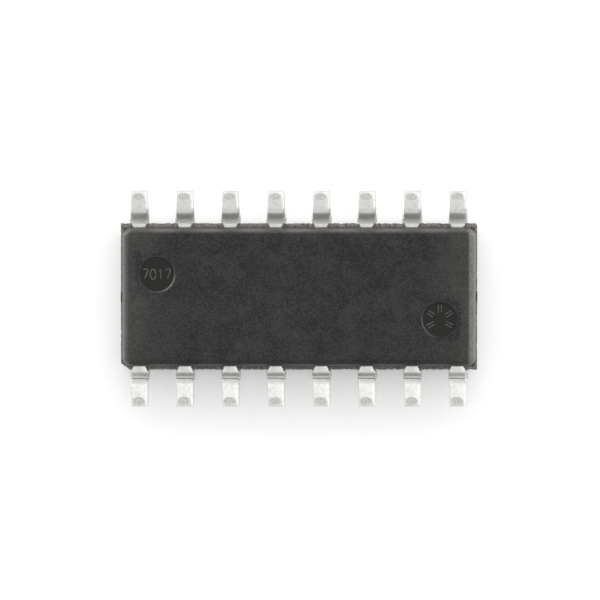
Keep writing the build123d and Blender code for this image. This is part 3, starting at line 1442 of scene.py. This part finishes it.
        sideways = np.concatenate(
            [
                flat[None] * (wide - lower),
                corner(lower, low_turn),
                corner(right, high_turn),
                middle + arch[None] * (wide - (left + right) / 2),
                -corner(left, high_turn[::-1]),
                -corner(lower, low_turn[::-1]),
            ],
            axis=1,
        )
        heights = np.concatenate(
            [
                np.full(len(flat), -half_thick),
                -half_thick + lower + lower * np.sin(low_turn),
                top_level - right + right * np.sin(high_turn),
                top_level + self.crown * (1 - arch**2),
                top_level - left + left * np.sin(high_turn[::-1]),
                -half_thick + lower + lower * np.sin(low_turn[::-1]),
            ]
        )
        if east < 0:
            return -sideways[:, ::-1], heights[::-1]
        return sideways, heights

    def formed_strip(self, rng: np.random.Generator, east: int, shell: Shell) -> None:
        """Adds the visible strip of a northern lead at x = 0, with its small differences.

        The section is carried along the middle line, square to it. The width widens from the
        exit to the dam bar, bulges at the stubs and tapers along the foot. The seating plane
        cuts the crown off flat, which leaves an oval pad, and a quarter circle rounds the toe.

        Args:
            rng: Source of the lead's own small differences.
            east: 1 if the lead stays on the north side, -1 if it is turned to the south side.
            shell: Where the surface is added.
        """
        package = self.package
        form = self.north if east > 0 else self.south
        lean = math.radians(form.lean + rng.normal(0, 0.4))
        rise = math.radians(self.rise + rng.normal(0, 0.25))
        line, heading, along = self.middle_line(form, lean, rise)
        widen = np.clip(along / package.dam_start, 0, 1)
        slim = np.clip((line[:, 0] - self.dam_end) / (package.reach - self.dam_end), 0, 1)
        half = (package.exit_width + widen * (package.lead_width - package.exit_width)) / 2
        half -= slim * (package.lead_width - self.toe_width) / 2
        into = np.clip((along - package.dam_start) / self.stub_slope, 0, 1)
        out_of = np.clip((self.dam_end - along) / self.stub_slope, 0, 1)
        stub = into * out_of * (self.stub_width - package.lead_width) / 2
        stub_left = stub * (1 + rng.normal(0, 0.25))
        stub_right = stub * (1 + rng.normal(0, 0.25))
        sideways, heights = self.section(half, east)
        share = sideways / half[:, None]
        sideways = sideways + share * np.where(share > 0, stub_right[:, None], stub_left[:, None])
        square = np.clip((package.reach - line[:, 0]) / 0.10, 0, 1)
        lean_out = -np.sin(heading) * square
        out = line[:, :1] + heights[None] * lean_out[:, None]
        up = line[:, 1:] + heights[None] * np.cos(heading)[:, None]
        toe = np.clip((out - (package.reach - self.toe_radius)) / self.toe_radius, 0, 1)
        ceiling = package.seat - self.toe_radius * (1 - np.sqrt(1 - toe**2))
        across = (sideways * east - self.pad_at[0]) / self.pad_size[0]
        pad = ease((1.06 - np.hypot(across, (out - self.pad_at[1]) / self.pad_size[1])) / 0.2)
        up = np.minimum(up, ceiling)
        points = np.stack([sideways, package.half_width + out, up], axis=2)
        rows, around = sideways.shape
        shade = (pad - self.stretch(form, heading, share)) * (heights[None] > 0)
        first = shell.add(points, grid_quads(rows, around, closed=True), shade=shade)
        for row, flip in ((0, False), (rows - 1, True)):
            shell.close(first + row * around, around, points[row].mean(axis=0), flip)

    def stretch(self, form: RowForm, heading: np.ndarray, share: np.ndarray) -> np.ndarray:
        """How frosted the plating is where the bends stretched it, from 0 to 1.

        The knee is frosted, less so in a patch that begins at a heading which grows with the
        square of the distance from the strip's middle, so that it is bounded by an arch; that
        less frosted, darker patch is painted shade. The leg, the steep part of the heel and its
        rims are frosted too, but for a fine line that the forming tool rubbed, which fades as a
        bell curve of the heading's sine.

        Args:
            form: The row's form.
            heading: Heading of the strip at each station, in radians.
            share: Sideways place of each point, from -1 to 1, of shape (stations, points).

        Returns:
            The frosted share of each point.
        """
        turned = np.degrees(heading)[:, None]
        station = np.arange(len(heading))[:, None]
        leg = np.flatnonzero(turned > turned.max() - 1e-6)
        # Painted shade: a less frosted, darker patch inside an arch on the knee.
        patch = ease((turned - 6 - 42 * share**2) / 16)
        knee = (1 - (1 - form.arch_frost) * patch) * ease((turned - 1) / 6)
        line = np.exp(-(((np.sin(heading)[:, None] - self.tool_line) / self.tool_width) ** 2))
        rim = 30 * ease((np.abs(share) - 0.80) / 0.15)
        heel = ease((turned - 41 + rim) / 12) * (1 - form.scoring * line)
        return np.where(station < leg[0], knee, np.where(station > leg[-1], heel, 1.0))

    def build_lead(self, number: int) -> Piece:
        """Makes one lead at its place, numbered clockwise from the north-west corner.

        Args:
            number: 1 to 16.

        Returns:
            The piece.
        """
        package = self.package
        side = Side.NORTH if number <= package.leads_per_side else Side.SOUTH
        places = np.concatenate([package.lead_places, package.lead_places[::-1]])
        shell = Shell()
        self.formed_strip(np.random.default_rng(700 + number), side.value, shell)
        turn = np.array([side.value, side.value, 1.0])
        shift = np.array([places[number - 1], 0.0, 0.0])
        shell.points = [points * turn + shift for points in shell.points]
        return shell.build(f"gull_wing_{number:02d}")

    def build(self) -> None:
        """Makes all leads and gives them their finish."""
        material = self.finish.material()
        for number in range(1, 2 * self.package.leads_per_side + 1):
            piece = self.build_lead(number)
            piece.data.materials.append(material)
            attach(piece, BODY)
            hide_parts(f"lead_{number:02d}")
            LOG.info("%s: %d faces", piece.name, len(piece.data.polygons))


@dataclass
class Insides:
    """The pieces that the resin hides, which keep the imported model's own meshes.

    Args:
        nodes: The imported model's objects by name.
    """

    nodes: dict[str, Piece]

    def dress(self) -> None:
        """Gives each hidden piece its own finish."""
        copper = InnerMetal(
            "silvered copper", (0.80, 0.62, 0.50), (0.62, 0.42, 0.30), roughness=0.35, grain=0.15
        )
        gold = InnerMetal(
            "gold wire", (0.90, 0.66, 0.28), (0.78, 0.52, 0.20), roughness=0.22, grain=0.05
        )
        finishes = {
            "die_pad": copper.material(),
            "die_attach": Adhesive().material(),
            "die": Silicon().material(),
        }
        wire = gold.material()
        for name, piece in self.nodes.items():
            if name in finishes or name.startswith("bond_wire"):
                piece.data.materials.clear()
                piece.data.materials.append(finishes.get(name, wire))
                LOG.info("%s dressed", name)


@dataclass
class Studio:
    """The white table, the lamps and the camera.

    Args:
        package: The package's dimensions.
        distance: From the camera to the mould line's plane, in millimetres.
        tilt: How far the camera leans to the north, in degrees.
        pixels_per_mm: Scale of the picture at the mould line's plane.
        picture: Width of the picture in pixels.
        body_at: Where the middle of the body lies in the picture, in pixels.
        bright_side: Direction in which the sky brightens.
        dim_sky: Strength of the sky's dim side.
        bright_sky: Strength of the sky's bright side.
        end_sky: Share of its strength that the sky keeps to the east and west.
        low_sky: Share of its strength that the sky keeps at the horizon.
        backdrop_side: Direction along which the backdrop changes.
        backdrop: What mirrored rays see: pairs of how far they point that way and its level.
        lamp_place: Place of the eastern lamp in metres. The western one mirrors it.
        lamp_size: Side of each lamp in metres.
        lamp_power: Power of each lamp in watts.
        table_half: Half the side of the table.
        table_drop: How far the table lies below the marked face.
    """

    package: Package
    distance: float = 400.0
    tilt: float = 3.8
    pixels_per_mm: float = 35.77
    picture: int = 600
    body_at: Pair = (299.05, 296.85)
    bright_side: Triple = (0.03, 1.0, 0.0)
    backdrop_side: Triple = (0.33, 0.94, 0.0)
    dim_sky: float = 0.20
    bright_sky: float = 1.60
    end_sky: float = 0.66
    low_sky: float = 0.45
    backdrop: tuple[Pair, ...] = (
        (-1.0, 0.75),
        (-0.25, 0.75),
        (-0.06, 0.74),
        (0.08, 1.24),
        (0.16, 1.18),
        (0.33, 0.94),
        (0.75, 0.80),
        (1.0, 0.68),
    )
    lamp_place: Triple = (0.34, 0.04, 0.36)
    lamp_size: float = 0.70
    lamp_power: float = 0.36
    table_half: float = 1500.0
    table_drop: float = 0.002

    def place_camera(self) -> None:
        """Places the camera over the package, leaning a little to the north."""
        middle = self.picture / 2
        aim_x = (middle - self.body_at[0]) / self.pixels_per_mm
        aim_y = (self.body_at[1] - middle) / self.pixels_per_mm
        lean = math.radians(self.tilt)
        data = bpy.data.cameras.new("camera")
        data.sensor_width = 36.0
        data.angle = 2 * math.atan(self.picture / self.pixels_per_mm / 2 / self.distance)
        data.clip_start = 0.01
        data.clip_end = 5.0
        camera = linked("camera", data)
        camera.location = (
            aim_x * MM,
            (aim_y + self.distance * math.sin(lean)) * MM,
            (self.package.lead_high + self.distance * math.cos(lean)) * MM,
        )
        camera.rotation_euler = (-lean, 0.0, 0.0)
        bpy.context.scene.camera = camera

    def place_lamp(self, name: str, east: int) -> None:
        """Places a square soft lamp that faces the package.

        Args:
            name: Name of the lamp.
            east: 1 for the east side, -1 for the west side.
        """
        data = bpy.data.lights.new(name, "AREA")
        data.size = self.lamp_size
        data.energy = self.lamp_power
        lamp = linked(name, data)
        lamp.location = (east * self.lamp_place[0], *self.lamp_place[1:])
        lamp.rotation_euler = (-lamp.location).to_track_quat("-Z", "Y").to_euler()

    def build_table(self) -> None:
        """The table: a flat square just under the marked face."""
        side = np.linspace(-self.table_half, self.table_half, 3)
        x, y = np.meshgrid(side, side, indexing="ij")
        shell = Shell()
        shell.add(np.stack([x, y, 0 * x - self.table_drop], axis=2), grid_quads(3, 3))
        table = shell.build("table")
        table.data.materials.append(WhiteTable().material())

    def build_sky(self) -> None:
        """The sky, which changes only with a direction's own shares.

        As a light it rises smoothly from its dim side to its bright side, and is weaker to the
        east and west and near the horizon. The camera and mirrored rays see a pale backdrop
        instead, with a brighter band a little north of overhead.
        """
        world = bpy.data.worlds.new("sky")
        nodes = Nodes(world, "Generated")
        parts = nodes.parts()
        smooth = "SMOOTHSTEP"
        aside = nodes.combine("ABSOLUTE", parts["X"])
        north = nodes.toward(self.bright_side)
        strength = nodes.spread(north, self.dim_sky, self.bright_sky, -0.38, 0.45, smooth)
        for share in (
            nodes.spread(aside, 1.0, self.end_sky, 0.1, 0.8, smooth),
            nodes.spread(parts["Z"], self.low_sky, 1.0, 0.0, 0.55, smooth),
        ):
            strength = nodes.combine("MULTIPLY", strength, share)
        half = nodes.spread(nodes.toward(self.backdrop_side), 0.0, 1.0, -1.0, 1.0)
        stops = [((way + 1) / 2, (level / 2,) * 3) for way, level in self.backdrop]
        shown = nodes.combine("MULTIPLY", nodes.ramp(half, stops), 2.0)
        mixed = nodes.add("Mix", {"Factor": nodes.seen(), "A": strength, "B": shown})
        inputs = {"Color": (1.0, 1.0, 1.0, 1.0), "Strength": mixed.outputs["Result"]}
        nodes.feed(nodes.tree.nodes["Background"], inputs)
        bpy.context.scene.world = world

    def build(self) -> None:
        """Makes the table, the lamps, the sky and the camera."""
        self.build_table()
        self.place_lamp("west_lamp", -1)
        self.place_lamp("east_lamp", 1)
        self.build_sky()
        bpy.context.scene.view_settings.view_transform = "Standard"
        self.place_camera()


def main() -> None:
    """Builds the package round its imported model, and the studio round the package."""
    logging.basicConfig(level=logging.INFO, format="%(name)s: %(message)s")
    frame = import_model()
    package = Package.from_frame()
    LOG.info("body %.3f by %.3f mm", 2 * package.half_length, 2 * package.half_width)
    Moulding(package, MouldedResin()).build()
    Leads(package, TinPlate()).build()
    Insides(frame["nodes"]).dress()
    Studio(package).build()


if __name__ == "__main__":
    main()
